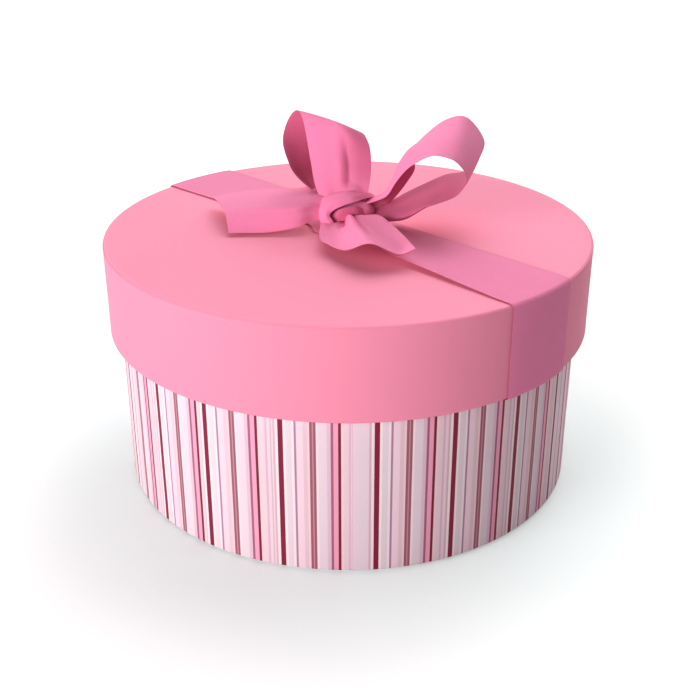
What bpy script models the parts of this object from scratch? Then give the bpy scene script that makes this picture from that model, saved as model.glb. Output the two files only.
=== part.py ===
# A round paperboard gift box: a striped base, and a deep lid with a ribbon band and a tied bow.
# Metres, +Z up. The origin is the centre of the underside. The ribbon band runs along X.
# The lid lifts straight up along Z, from the empty called lid_lift_axis.

import math

import bmesh
import bpy
import numpy as np
from mathutils import Matrix

for leftover in list(bpy.data.objects):
    bpy.data.objects.remove(leftover, do_unlink=True)

# Driving dimensions
base_radius = 0.106
base_height = 0.1115
wall_board = 0.0020
floor_board = 0.0020
lid_board_thick = 0.0020
hoop_board = 0.0015
skirt_height = 0.041
lid_clearance = 0.0009
paper = 0.0003
glue_gap = 0.0003
base_turn_in = 0.015
base_turn_under = 0.012
lid_turn_in = 0.015
lid_turn_down = 0.008
lid_edge_round = 0.0012
underside_margin = 0.002
ribbon_width = 0.038
ribbon_thick = 0.0005
ribbon_turn_in = 0.012
knot_slit_width = 0.0009
bow_turn = math.radians(45.0)
overrun = 0.004
merge_distance = 0.00001

# Counts of faces: round the box, round its edges, and along and across each stretch of ribbon
ring_steps = 72
edge_points = 3
left_loop_grid = (30, 6)
right_loop_grid = (36, 5)
left_tail_grid = (14, 6)
front_tail_grid = (14, 12)
knot_grid = (24, 12)
knot_slit_grid = (12, 1)

# Radii and heights that follow from them
wall_outer = base_radius - paper - glue_gap
wall_inner = wall_outer - wall_board
lining_outer = wall_inner - glue_gap
lining_inner = lining_outer - paper
floor_paper_radius = lining_inner - glue_gap
base_board_radius = wall_inner - glue_gap
underside_radius = base_radius - underside_margin

wrap_foot = paper + glue_gap
board_foot = wrap_foot + paper + glue_gap
floor_top = board_foot + floor_board
floor_paper_foot = floor_top + glue_gap
wall_top = base_height - paper - glue_gap

band_inner = base_radius + lid_clearance
hem_inner = band_inner + ribbon_thick + glue_gap
hoop_inner = hem_inner + paper + glue_gap
hoop_outer = hoop_inner + hoop_board
flange_outer = hoop_outer + glue_gap + paper
skirt_inner = flange_outer + glue_gap
lid_radius = skirt_inner + paper
lid_lining_outer = hoop_inner - glue_gap
lid_lining_inner = lid_lining_outer - paper
lid_disc_radius = lid_lining_inner - glue_gap

lid_disc_foot = base_height + glue_gap
lid_board_foot = lid_disc_foot + paper + glue_gap
lid_board_top = lid_board_foot + lid_board_thick
lid_top = lid_board_top + glue_gap + paper
skirt_foot = lid_top - skirt_height
hoop_foot = skirt_foot + paper + glue_gap
hoop_top = lid_board_foot - glue_gap
hem_top = skirt_foot + lid_turn_in
lid_lining_foot = hem_top + glue_gap
edge_centre_radius = lid_radius - lid_edge_round
edge_centre_height = lid_top - lid_edge_round
flange_step = lid_radius - flange_outer
flange_top = edge_centre_height - flange_step
flange_foot = lid_top - lid_turn_down
skirt_top = flange_top - glue_gap

band_stand = glue_gap + ribbon_thick
band_top = lid_top + band_stand
band_outer = lid_radius + band_stand
band_foot = skirt_foot - band_stand
band_hem_top = skirt_foot + ribbon_turn_in
bow_seat = band_top + glue_gap

box_parts = bpy.data.collections.new("round_gift_box")
cutters = bpy.data.collections.new("cutters")
bpy.context.scene.collection.children.link(box_parts)
bpy.context.scene.collection.children.link(cutters)


def linear(channel):
    """One colour channel, 0 to 255 as seen on a screen, as the linear value that a shader takes."""
    value = channel / 255.0
    if value <= 0.04045:
        return value / 12.92
    return ((value + 0.055) / 1.055) ** 2.4


def finish(name, colour, roughness):
    """A Principled material of one colour, given as it looks on a screen."""
    material = bpy.data.materials.new(name)
    material.use_nodes = True
    shader = material.node_tree.nodes["Principled BSDF"]
    shader.inputs["Base Color"].default_value = (*[linear(channel) for channel in colour], 1.0)
    shader.inputs["Roughness"].default_value = roughness
    shader.inputs["Metallic"].default_value = 0.0
    material.diffuse_color = (*[channel / 255.0 for channel in colour], 1.0)
    return material


striped_paper = finish("striped_paper", (232, 200, 214), 0.6)
pink_paper = finish("pink_paper", (252, 158, 188), 0.6)
pink_ribbon = finish("pink_ribbon", (244, 138, 180), 0.75)
greyboard = finish("greyboard", (168, 160, 150), 0.9)
lining_paper = finish("lining_paper", (246, 240, 240), 0.8)

base_frame = bpy.data.objects.new("base_frame", None)
lid_frame = bpy.data.objects.new("lid_lift_axis", None)
for frame in (base_frame, lid_frame):
    box_parts.objects.link(frame)
lid_frame.location = (0.0, 0.0, skirt_foot)


def add_object(name, mesh, material, carrier):
    """A named part of the box, carried by the base or by the lid."""
    part = bpy.data.objects.new(name, mesh)
    mesh.materials.append(material)
    box_parts.objects.link(part)
    part.parent = carrier
    part.matrix_parent_inverse = carrier.matrix_basis.inverted()
    return part


def profile_mesh(name, outline, closed):
    """The outline, as (radius, height) pairs, standing in the XZ plane as joined edges."""
    mesh = bpy.data.meshes.new(name)
    shape = bmesh.new()
    corners = [shape.verts.new((radius, 0.0, height)) for radius, height in outline]
    for start, end in zip(corners, corners[1:]):
        shape.edges.new((start, end))
    if closed:
        shape.edges.new((corners[-1], corners[0]))
    shape.to_mesh(mesh)
    shape.free()
    return mesh


def add_screw(part):
    """Turn the part's profile once round Z."""
    screw = part.modifiers.new("Turn", "SCREW")
    screw.axis = "Z"
    screw.angle = math.tau
    screw.steps = ring_steps
    screw.render_steps = ring_steps
    screw.use_merge_vertices = True
    screw.merge_threshold = merge_distance
    screw.use_smooth_shade = True


def add_thickness(part, thickness, offset):
    """Give an open surface its thickness; offset -1 grows it behind its face."""
    wall = part.modifiers.new("Thickness", "SOLIDIFY")
    wall.thickness = thickness
    wall.offset = offset
    wall.use_even_offset = True


def turned_ring(name, outer, inner, top, foot, material, carrier):
    """A plain tube between two radii and two heights."""
    outline = [(outer, top), (outer, foot), (inner, foot), (inner, top)]
    part = add_object(name, profile_mesh(name, outline, True), material, carrier)
    add_screw(part)
    return part


def turned_disc(name, radius, top, foot, material, carrier):
    """A plain round plate."""
    outline = [(0.0, top), (radius, top), (radius, foot), (0.0, foot)]
    part = add_object(name, profile_mesh(name, outline, False), material, carrier)
    add_screw(part)
    return part


def turned_skin(name, face_line, thickness, material, carrier):
    """A sheet turned round Z: face_line is its showing face, and its thickness lies behind that."""
    part = add_object(name, profile_mesh(name, face_line, False), material, carrier)
    add_screw(part)
    add_thickness(part, thickness, -1.0)
    return part


# Base: a greyboard tube and disc, covered with striped paper and lined
turned_ring("base_wall", wall_outer, wall_inner, wall_top, board_foot, greyboard, base_frame)
turned_disc("base_board", base_board_radius, floor_top, board_foot, greyboard, base_frame)

bend = paper + glue_gap
turned_skin(
    "base_wrap",
    [
        (lining_inner, base_height - base_turn_in),
        (lining_inner, base_height - bend),
        (lining_inner + bend, base_height),
        (base_radius - bend, base_height),
        (base_radius, base_height - bend),
        (base_radius, wrap_foot + bend),
        (base_radius - bend, wrap_foot),
        (base_radius - base_turn_under, wrap_foot),
    ],
    paper,
    striped_paper,
    base_frame,
)
turned_ring(
    "base_lining",
    lining_outer,
    lining_inner,
    base_height - base_turn_in - glue_gap,
    floor_paper_foot,
    lining_paper,
    base_frame,
)
turned_disc(
    "base_floor_paper",
    floor_paper_radius,
    floor_paper_foot + paper,
    floor_paper_foot,
    lining_paper,
    base_frame,
)
turned_disc("base_underside_paper", underside_radius, paper, 0.0, lining_paper, base_frame)

# Lid: a greyboard disc on a hoop, the top paper turned down under the skirt paper
turned_disc("lid_board", hoop_outer, lid_board_top, lid_board_foot, greyboard, lid_frame)
turned_ring("lid_hoop", hoop_outer, hoop_inner, hoop_top, hoop_foot, greyboard, lid_frame)


def lid_edge_arc(bend_radius):
    """The lid's top edge as a quarter round, from its top to its side."""
    arc = []
    for step in range(edge_points):
        angle = math.pi / 2 * (1 - step / (edge_points - 1))
        radius = edge_centre_radius + bend_radius * math.cos(angle)
        height = edge_centre_height + bend_radius * math.sin(angle)
        arc.append((radius, height))
    return arc


turned_skin(
    "lid_top_paper",
    [(0.0, lid_top)]
    + lid_edge_arc(lid_edge_round)
    + [(flange_outer, flange_top), (flange_outer, flange_foot)],
    paper,
    pink_paper,
    lid_frame,
)
turned_skin(
    "lid_skirt_wrap",
    [
        (lid_radius, skirt_top),
        (lid_radius, skirt_foot + bend),
        (lid_radius - bend, skirt_foot),
        (hem_inner + bend, skirt_foot),
        (hem_inner, skirt_foot + bend),
        (hem_inner, hem_top),
    ],
    paper,
    pink_paper,
    lid_frame,
)
turned_ring(
    "lid_lining", lid_lining_outer, lid_lining_inner, hoop_top, lid_lining_foot, lining_paper, lid_frame
)
turned_disc(
    "lid_inner_disc", lid_disc_radius, lid_disc_foot + paper, lid_disc_foot, lining_paper, lid_frame
)

# Ribbon band: over the lid, down both sides, round the lower edge and a little way up inside
band = turned_skin(
    "ribbon_band",
    [(0.0, band_top)]
    + lid_edge_arc(lid_edge_round + band_stand)
    + [
        (band_outer, band_foot + band_stand),
        (band_outer - band_stand, band_foot),
        (band_inner + band_stand, band_foot),
        (band_inner, band_foot + band_stand),
        (band_inner, band_hem_top),
    ],
    ribbon_thick,
    pink_ribbon,
    lid_frame,
)


def add_cutter(name, mesh):
    """A helper shape that only cuts other parts."""
    cutter = bpy.data.objects.new(name, mesh)
    cutter.hide_render = True
    cutter.display_type = "WIRE"
    cutters.objects.link(cutter)
    return cutter


def cut(part, cutter, operation):
    """Keep what lies inside the cutter (INTERSECT) or outside it (DIFFERENCE)."""
    trim = part.modifiers.new("Trim", "BOOLEAN")
    trim.operation = operation
    trim.solver = "EXACT"
    trim.object = cutter


slab_shape = bmesh.new()
bmesh.ops.create_cube(slab_shape, size=1.0)
slab_size = (2 * (band_outer + overrun), ribbon_width, skirt_height + 2 * (band_stand + overrun))
bmesh.ops.scale(slab_shape, vec=slab_size, verts=slab_shape.verts)
bmesh.ops.translate(slab_shape, vec=(0.0, 0.0, skirt_foot + skirt_height / 2), verts=slab_shape.verts)
slab_mesh = bpy.data.meshes.new("ribbon_slab")
slab_shape.to_mesh(slab_mesh)
slab_shape.free()
cut(band, add_cutter("ribbon_slab", slab_mesh), "INTERSECT")

# Bow: one ribbon, tied over the middle of the band. Its frame is turned from the band's by
# bow_turn, with x to the right, y away and z up from the band's face, in ribbon widths.
# Each row of a table runs across the ribbon, and the rows follow it along.

# The knot is a rounded lump of these half sizes about this centre
knot_size_share = (0.345, 0.26, 0.205)
knot_centre_share = (0.0, 0.0, 0.175)

# The slit where the ribbon's last turn laps over the gathers: places on the knot, seen from its
# centre, and between which shares of the way out to them the slit runs
knot_slit_shares = [
    (0.24, 0.02, 0.17),
    (0.07, -0.16, 0.16),
    (-0.05, -0.20, 0.13),
    (-0.17, -0.20, 0.08),
    (-0.21, -0.20, 0.03),
    (-0.18, -0.22, -0.03),
]
knot_slit_depth_share = (0.75, 1.2)

# From the knot's top, up the front, over the fold and down behind
left_loop_shares = [
    [(-0.15, -0.02, 0.18), (-0.03, -0.02, 0.18), (0.10, 0.00, 0.18)],
    [(-0.39, -0.05, 0.49), (-0.06, 0.10, 0.44), (0.27, 0.14, 0.37)],
    [(-0.46, -0.16, 0.97), (-0.13, 0.08, 0.84), (0.27, 0.21, 0.69)],
    [(-0.52, -0.24, 1.36), (-0.15, 0.02, 1.17), (0.23, 0.24, 0.97)],
    [(-0.58, -0.20, 1.44), (-0.19, 0.05, 1.24), (0.19, 0.29, 1.03)],
    [(-0.66, -0.07, 1.33), (-0.25, 0.16, 1.15), (0.17, 0.39, 0.96)],
    [(-0.76, 0.05, 1.06), (-0.31, 0.28, 0.92), (0.14, 0.47, 0.74)],
    [(-0.67, 0.13, 0.71), (-0.28, 0.29, 0.60), (0.11, 0.39, 0.48)],
    [(-0.48, 0.16, 0.40), (-0.21, 0.24, 0.34), (0.08, 0.29, 0.27)],
    [(-0.15, 0.12, 0.16), (-0.04, 0.13, 0.16), (0.08, 0.13, 0.15)],
]
# From the knot's right, out along the upper side, round the end and back below
right_loop_shares = [
    [(0.15, -0.04, 0.25), (0.15, 0.10, 0.27)],
    [(0.47, -0.11, 0.32), (0.36, 0.21, 0.31)],
    [(0.65, -0.21, 0.62), (0.54, 0.37, 0.53)],
    [(0.79, -0.32, 0.87), (0.74, 0.53, 0.75)],
    [(0.97, -0.39, 0.97), (0.94, 0.61, 0.95)],
    [(1.17, -0.42, 0.94), (1.19, 0.58, 1.15)],
    [(1.28, -0.42, 0.86), (1.44, 0.55, 1.18)],
    [(1.35, -0.42, 0.75), (1.66, 0.53, 0.90)],
    [(1.35, -0.42, 0.63), (1.58, 0.50, 0.67)],
    [(1.25, -0.42, 0.54), (1.44, 0.47, 0.54)],
    [(1.10, -0.39, 0.46), (1.20, 0.42, 0.51)],
    [(0.90, -0.34, 0.36), (0.96, 0.34, 0.43)],
    [(0.68, -0.26, 0.22), (0.71, 0.24, 0.34)],
    [(0.49, -0.16, 0.12), (0.53, 0.16, 0.27)],
    [(0.15, -0.04, 0.10), (0.15, 0.08, 0.14)],
]
# From the knot's left to the cut end, which rests its near corner on the lid
left_tail_shares = [
    [(-0.12, -0.06, 0.12), (-0.12, 0.02, 0.16), (-0.12, 0.10, 0.17)],
    [(-0.32, -0.13, 0.09), (-0.33, 0.00, 0.22), (-0.32, 0.13, 0.24)],
    [(-0.58, -0.24, 0.05), (-0.60, 0.03, 0.22), (-0.62, 0.32, 0.28)],
    [(-0.90, -0.33, 0.03), (-1.00, 0.13, 0.15), (-1.15, 0.60, 0.20)],
    [(-1.42, -0.31, 0.00), (-1.58, 0.26, 0.07), (-1.77, 0.87, 0.05)],
]
# From the knot's front to the cut end, with two flutes that flatten away from the knot
front_tail_shares = [
    [
        (-0.18, -0.06, 0.12), (-0.10, -0.08, 0.12), (0.00, -0.08, 0.17),
        (0.08, -0.08, 0.15), (0.16, -0.06, 0.15),
    ],
    [
        (-0.32, -0.16, 0.09), (-0.10, -0.24, 0.12), (0.04, -0.25, 0.23),
        (0.18, -0.25, 0.19), (0.35, -0.24, 0.21),
    ],
    [
        (-0.30, -0.43, 0.13), (-0.12, -0.39, 0.11), (0.08, -0.48, 0.22),
        (0.26, -0.43, 0.15), (0.50, -0.39, 0.15),
    ],
    [
        (-0.27, -0.72, 0.15), (-0.07, -0.73, 0.09), (0.17, -0.86, 0.21),
        (0.41, -0.80, 0.10), (0.64, -0.72, 0.13),
    ],
    [
        (-0.24, -0.98, 0.17), (0.00, -1.06, 0.08), (0.25, -1.15, 0.19),
        (0.56, -1.18, 0.08), (0.78, -1.02, 0.10),
    ],
]


def smooth_through(points, count):
    """A Catmull-Rom curve through the points of axis 0, read at count even steps."""
    first = 2 * points[:1] - points[1:2]
    last = 2 * points[-1:] - points[-2:-1]
    padded = np.concatenate([first, points, last])
    place = np.linspace(0.0, len(points) - 1.0, count)
    index = np.minimum(place.astype(int), len(points) - 2)
    part = (place - index).reshape(-1, 1, 1)
    before, start, end, after = (padded[index + step] for step in range(4))
    straight = (end - before) * part
    bowed = (2 * before - 5 * start + 4 * end - after) * part**2
    twisted = (3 * start - before - 3 * end + after) * part**3
    return start + (straight + bowed + twisted) / 2


def bow_point(places):
    """Places in the bow's own frame, in ribbon widths, as world points."""
    sideways, away, up = (places[..., axis] * ribbon_width for axis in range(3))
    world = np.empty(places.shape)
    world[..., 0] = sideways * math.cos(bow_turn) - away * math.sin(bow_turn)
    world[..., 1] = sideways * math.sin(bow_turn) + away * math.cos(bow_turn)
    world[..., 2] = bow_seat + up
    return world


def strip_mesh(name, row_shares, grid_counts):
    """A flat grid laid over the table's rows."""
    along, across = grid_counts
    rows = smooth_through(np.array(row_shares), along + 1)
    grid = np.swapaxes(smooth_through(np.swapaxes(rows, 0, 1), across + 1), 0, 1)
    world = bow_point(grid)
    sheet = bmesh.new()
    bmesh.ops.create_grid(sheet, x_segments=across, y_segments=along, size=0.5)
    for corner in sheet.verts:
        column = round((corner.co.x + 0.5) * across)
        row = round((corner.co.y + 0.5) * along)
        corner.co = world[row, column]
    mesh = bpy.data.meshes.new(name)
    sheet.to_mesh(mesh)
    sheet.free()
    mesh.shade_smooth()
    return mesh


def ribbon_strip(name, row_shares, grid_counts):
    """A stretch of the bow's ribbon, with its thickness, cut where it meets the knot."""
    strip = add_object(name, strip_mesh(name, row_shares, grid_counts), pink_ribbon, lid_frame)
    add_thickness(strip, ribbon_thick, 0.0)
    cut(strip, knot_clearance, "DIFFERENCE")
    return strip


def knot_mesh(name, margin, foot):
    """The gathered knot as a rounded lump, grown by margin, and cut flat at foot if that is given."""
    lump = bmesh.new()
    segments, rings = knot_grid
    bmesh.ops.create_uvsphere(lump, u_segments=segments, v_segments=rings, radius=1.0)
    size = [share * ribbon_width + margin for share in knot_size_share]
    bmesh.ops.scale(lump, vec=size, verts=lump.verts)
    bmesh.ops.rotate(lump, matrix=Matrix.Rotation(bow_turn, 3, "Z"), verts=lump.verts)
    bmesh.ops.translate(lump, vec=bow_point(np.array(knot_centre_share)), verts=lump.verts)
    if foot is not None:
        sliced = bmesh.ops.bisect_plane(
            lump,
            geom=lump.verts[:] + lump.edges[:] + lump.faces[:],
            dist=merge_distance,
            plane_co=(0.0, 0.0, foot),
            plane_no=(0.0, 0.0, 1.0),
            clear_inner=True,
        )
        rim = [piece for piece in sliced["geom_cut"] if isinstance(piece, bmesh.types.BMEdge)]
        bmesh.ops.edgeloop_fill(lump, edges=rim)
        bmesh.ops.recalc_face_normals(lump, faces=lump.faces)
    mesh = bpy.data.meshes.new(name)
    lump.to_mesh(mesh)
    lump.free()
    mesh.shade_smooth()
    return mesh


knot = add_object("bow_knot", knot_mesh("bow_knot", 0.0, bow_seat), pink_ribbon, lid_frame)
slit_rows = []
for place in np.array(knot_slit_shares):
    slit_rows.append([np.array(knot_centre_share) + place * depth for depth in knot_slit_depth_share])
knot_slit = add_cutter("knot_slit", strip_mesh("knot_slit", slit_rows, knot_slit_grid))
add_thickness(knot_slit, knot_slit_width, 0.0)
cut(knot, knot_slit, "DIFFERENCE")
knot_clearance = add_cutter("knot_clearance", knot_mesh("knot_clearance", glue_gap, None))

ribbon_strip("bow_loop_left", left_loop_shares, left_loop_grid)
ribbon_strip("bow_loop_right", right_loop_shares, right_loop_grid)
ribbon_strip("bow_tail_left", left_tail_shares, left_tail_grid)
ribbon_strip("bow_tail_front", front_tail_shares, front_tail_grid)
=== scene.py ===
import math

import bpy
import numpy as np
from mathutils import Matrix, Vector


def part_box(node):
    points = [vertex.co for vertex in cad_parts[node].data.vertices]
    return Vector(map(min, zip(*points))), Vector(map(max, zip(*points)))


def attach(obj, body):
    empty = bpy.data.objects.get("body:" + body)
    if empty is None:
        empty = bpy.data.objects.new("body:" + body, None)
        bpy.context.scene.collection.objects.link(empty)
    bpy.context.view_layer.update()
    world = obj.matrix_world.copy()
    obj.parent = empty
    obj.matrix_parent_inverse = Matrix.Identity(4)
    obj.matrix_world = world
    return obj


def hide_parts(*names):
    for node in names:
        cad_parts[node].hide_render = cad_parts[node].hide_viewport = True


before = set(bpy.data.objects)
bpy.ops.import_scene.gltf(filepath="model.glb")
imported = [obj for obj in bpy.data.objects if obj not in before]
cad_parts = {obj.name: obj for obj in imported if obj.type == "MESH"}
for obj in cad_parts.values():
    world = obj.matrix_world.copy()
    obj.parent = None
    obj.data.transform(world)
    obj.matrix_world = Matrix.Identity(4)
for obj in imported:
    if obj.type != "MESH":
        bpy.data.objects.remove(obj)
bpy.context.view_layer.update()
print("frame loaded:", len(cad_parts), "nodes")


# Curves and grids

# Catmull-Rom through the points of axis 0, read at count even steps: p = start + (t (end - before)
# + t2 (2 before - 5 start + 4 end - after) + t3 (3 start - before - 3 end + after)) / 2
def smoothThrough(points, count):
    points = np.asarray(points, float)
    first = 2 * points[:1] - points[1:2]
    last = 2 * points[-1:] - points[-2:-1]
    padded = np.concatenate([first, points, last])
    place = np.linspace(0.0, len(points) - 1.0, count)
    index = np.minimum(place.astype(int), len(points) - 2)
    part = (place - index).reshape(-1, *[1] * (points.ndim - 1))
    before, start, end, after = (padded[index + step] for step in range(4))
    straight = (end - before) * part
    bowed = (2 * before - 5 * start + 4 * end - after) * part**2
    twisted = (3 * start - before - 3 * end + after) * part**3
    return start + (straight + bowed + twisted) / 2


# 0 below low, 1 above high, and the smooth curve 3t2 - 2t3 between
def easeBetween(value, low, high):
    share = np.clip((value - low) / (high - low), 0.0, 1.0)
    return share * share * (3.0 - 2.0 * share)


# 0 before begins, 1 from full to fades and 0 after gone, with smooth steps between
def fullBetween(value, begins, full, fades, gone):
    return easeBetween(value, begins, full) * (1.0 - easeBetween(value, fades, gone))


swellWaves = [(0.83, 0.41, 0.7, 1.0), (0.37, -1.13, 2.1, 1.0), (1.71, 1.37, 4.0, 0.6)]


# a slow uneven swell of about -1 to 1 over two places in metres: the weighted mean of three sines,
# each sin(tau (a across + b along) / length + phase)
def swell(across, along, length):
    turn = math.tau / length
    waves = [weight * np.sin(turn * (a * across + b * along) + phase) for a, b, phase, weight in swellWaves]
    return sum(waves) / sum(weight for a, b, phase, weight in swellWaves)


# a path through the corners, each rounded by an arc of its radius, with steps no longer than step
def roundedPath(corners, radii, step, arcSteps=7):
    corners = np.array(corners, float)
    points = [corners[0]]
    for index, radius in enumerate(radii):
        before, corner, after = corners[index : index + 3]
        inward = (before - corner) / np.linalg.norm(before - corner)
        outward = (after - corner) / np.linalg.norm(after - corner)
        turn = math.pi - math.acos(np.clip(inward @ outward, -1.0, 1.0))
        reach = radius * math.tan(turn / 2)
        middle = inward + outward
        centre = corner + middle / np.linalg.norm(middle) * radius / math.cos(turn / 2)
        spokeIn = corner + inward * reach - centre
        spokeOut = corner + outward * reach - centre
        for share in np.linspace(0.0, 1.0, arcSteps):
            mix = math.sin((1 - share) * turn) * spokeIn + math.sin(share * turn) * spokeOut
            points.append(centre + mix / math.sin(turn))
    points.append(corners[-1])
    path = points[:1]
    for point in points[1:]:
        start = path[-1]
        count = max(1, math.ceil(np.linalg.norm(point - start) / step))
        path += [start + (point - start) * share for share in np.arange(1, count + 1) / count]
    return np.array(path)


# distance along a path of points, from its first
def alongPath(path):
    steps = np.linalg.norm(np.diff(path, axis=0), axis=-1)
    return np.concatenate([[0.0], np.cumsum(steps)])


# a mesh from a grid of points: quads between neighbours, wrapped where the grid closes on itself, with a
# fan to each pole, or with the halves of each open end's ring joined. uv has one row or column more than
# points where the grid wraps.
def gridMesh(name, points, uv, wrapRows=False, wrapColumns=False, poles=None, joinEnds=False):
    rows, columns = points.shape[:2]
    row = np.arange(rows if wrapRows else rows - 1)[:, None]
    column = np.arange(columns if wrapColumns else columns - 1)[None, :]
    corners = [(row, column), (row, column + 1), (row + 1, column + 1), (row + 1, column)]
    quads = np.stack([(r % rows * columns + c % columns).ravel() for r, c in corners], axis=1)
    quadUv = np.stack([uv[r, c].reshape(-1, 2) for r, c in corners], axis=1)
    vertices = points.reshape(-1, 3)
    faces = quads.tolist()
    uvs = [quadUv.reshape(-1, 2)]
    if poles is not None:
        ring = np.arange(columns)
        turned = (ring + 1) % columns
        lastRow = (rows - 1) * columns
        for pole, fan in ((0, (None, turned, ring)), (1, (ring + lastRow, turned + lastRow, None))):
            tip = len(vertices) + np.zeros(columns, int)
            faces += np.stack([tip if edge is None else edge for edge in fan], axis=1).tolist()
            edgeUv = uv[-1 if pole else 0]
            tipUv = (edgeUv[:-1] + edgeUv[1:]) / 2
            tipUv[:, 1] = poles[1][pole]
            order = (edgeUv[:-1], edgeUv[1:], tipUv) if pole else (tipUv, edgeUv[1:], edgeUv[:-1])
            uvs.append(np.stack(order, axis=1).reshape(-1, 2))
            vertices = np.concatenate([vertices, [poles[0][pole]]])
    if joinEnds:
        half = columns // 2
        near = np.arange(half - 1)
        far = columns - 1 - near
        start = np.stack([near + 1, near, far, far - 1], axis=1)
        end = np.stack([near, near + 1, far - 1, far], axis=1) + (rows - 1) * columns
        for cap, edgeRow in ((start, 0), (end, rows - 1)):
            faces += cap.tolist()
            uvs.append(uv[edgeRow][cap % columns].reshape(-1, 2))
    mesh = bpy.data.meshes.new(name)
    mesh.from_pydata(vertices.tolist(), [], faces)
    layer = mesh.uv_layers.new(name="UVMap")
    layer.data.foreach_set("uv", np.concatenate(uvs).astype(np.float32).ravel())
    if insideOut(mesh):
        mesh.flip_normals()
    mesh.update()
    return mesh


# whether the faces turn inwards: the sum of the triangles' triple products is then below 0
def insideOut(mesh):
    mesh.calc_loop_triangles()
    corners = np.empty(len(mesh.loop_triangles) * 3, int)
    mesh.loop_triangles.foreach_get("vertices", corners)
    places = np.empty(len(mesh.vertices) * 3)
    mesh.vertices.foreach_get("co", places)
    first, second, third = places.reshape(-1, 3)[corners].reshape(-1, 3, 3).swapaxes(0, 1)
    return np.sum(first * np.cross(second, third)) < 0


sharpAngle = math.radians(40.0)      # edges that turn by more than this stay sharp


# the mesh as a smooth-shaded object of its name, which rides its body, stands for its nodes and has a slot
def addPiece(mesh, material, body, nodes):
    mesh.polygons.foreach_set("use_smooth", np.ones(len(mesh.polygons), bool))
    mesh.set_sharp_from_angle(angle=sharpAngle)
    piece = bpy.data.objects.new(mesh.name, mesh)
    bpy.context.scene.collection.objects.link(piece)
    mesh.materials.append(material)
    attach(piece, body)
    if nodes:
        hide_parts(*nodes)
    return piece


# Shader nodes

# each of these inputs of a node gets its value, or a link from the socket given for it
def setInputs(tree, node, inputs):
    for key, value in inputs.items():
        if isinstance(value, bpy.types.NodeSocket):
            tree.links.new(value, node.inputs[key])
        else:
            node.inputs[key].default_value = value


# a node of this kind with its settings, and then its inputs
def addNode(tree, kind, inputs=None, **settings):
    node = tree.nodes.new("ShaderNode" + kind)
    for key, value in settings.items():
        setattr(node, key, value)
    setInputs(tree, node, inputs or {})
    return node


# one operation on numbers or sockets
def doMath(tree, operation, *values):
    return addNode(tree, "Math", dict(enumerate(values)), operation=operation).outputs[0]


# base + gain (noise - 1/2), so that the noise moves the value both ways
def swayed(tree, noise, gain, base):
    return doMath(tree, "MULTIPLY_ADD", doMath(tree, "SUBTRACT", noise.outputs[0], 0.5), gain, base)


# 1 up to low, 0 from high on, and a smooth step between
def fadeBetween(tree, value, low, high):
    return addNode(tree, "MapRange", {
        "Value": value, "From Min": low, "From Max": high, "To Min": 1.0, "To Max": 0.0},
        interpolation_type="SMOOTHSTEP").outputs[0]


# colour * gain
def scaledColour(tree, colour, gain):
    return addNode(tree, "VectorMath", {0: colour, "Scale": gain}, operation="SCALE").outputs[0]


# first where share is 0, second where it is 1, and a straight mix between
def mixedColour(tree, share, first, second):
    return addNode(tree, "Mix", {0: share, 6: first, 7: second}, data_type="RGBA").outputs[2]


# a colour as it looks on a screen, 0 to 255, as the linear one that a shader takes:
# v / 12.92 where it is darkest, and else ((v + 0.055) / 1.055)^2.4
def screenColour(red, green, blue):
    values = np.array([red, green, blue]) / 255.0
    straight = values / 12.92
    curved = ((values + 0.055) / 1.055) ** 2.4
    return (*np.where(values <= 0.04045, straight, curved).tolist(), 1.0)


# an empty group that takes a place, a colour and these numbers, and gives a colour, a roughness and a height
def newLookGroup(name, numbers):
    group = bpy.data.node_groups.new(name, "ShaderNodeTree")
    inputs = [("Vector", "Vector"), ("Colour", "Color")] + [(label, "Float") for label in numbers]
    outputs = [("Colour", "Color"), ("Roughness", "Float"), ("Height", "Float")]
    for side, sockets in (("INPUT", inputs), ("OUTPUT", outputs)):
        for label, kind in sockets:
            group.interface.new_socket(label, in_out=side, socket_type="NodeSocket" + kind)
    return group, group.nodes.new("NodeGroupInput").outputs, group.nodes.new("NodeGroupOutput")


# a material whose shader has these inputs, with its node tree and its shader
def newMaterial(name, **sockets):
    material = bpy.data.materials.new(name)
    material.use_nodes = True
    shader = material.node_tree.nodes["Principled BSDF"]
    setInputs(material.node_tree, shader, sockets)
    return material, material.node_tree, shader


# Effects that several materials use

paperLook = {
    "fibres": {"Scale": 1700.0, "Detail": 3.0, "Roughness": 0.6, "Distortion": 0.8},
    "felt": {"Scale": 380.0, "Detail": 2.0},
    "cloud": {"Scale": 26.0, "Detail": 3.0},
    "feltRelief": 0.6, "feltRoughness": 0.18, "fibreShade": 0.05,
}
ribbonWidth = 0.038
shadedReverseStep = 4.0         # far beyond the length of any ribbon, in metres
ribbonLook = {
    # the reverse colour is darker partly as painted shade, for the insides of the loops
    "face": (240, 130, 171), "shadedReverse": (208, 97, 135),
    "shader": {"Specular IOR Level": 0.14, "Sheen Weight": 0.08, "Sheen Roughness": 0.5},
    "weave": {"Width": ribbonWidth, "Rib": 0.00052, "Thread": 0.00040, "Selvedge": 0.0011},
    "crossShare": 0.45, "edgeRelief": 0.9, "bumpStrength": 0.7, "bump": 0.00003,
    "slub": (260.0, 1500.0, 1.0), "cloud": 60.0,
    "weaveShade": 0.035, "slubShade": 0.09, "cloudShade": 0.06, "edgeShade": -0.05,
    "roughness": 0.62, "slubRoughness": 0.16,
}


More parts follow.
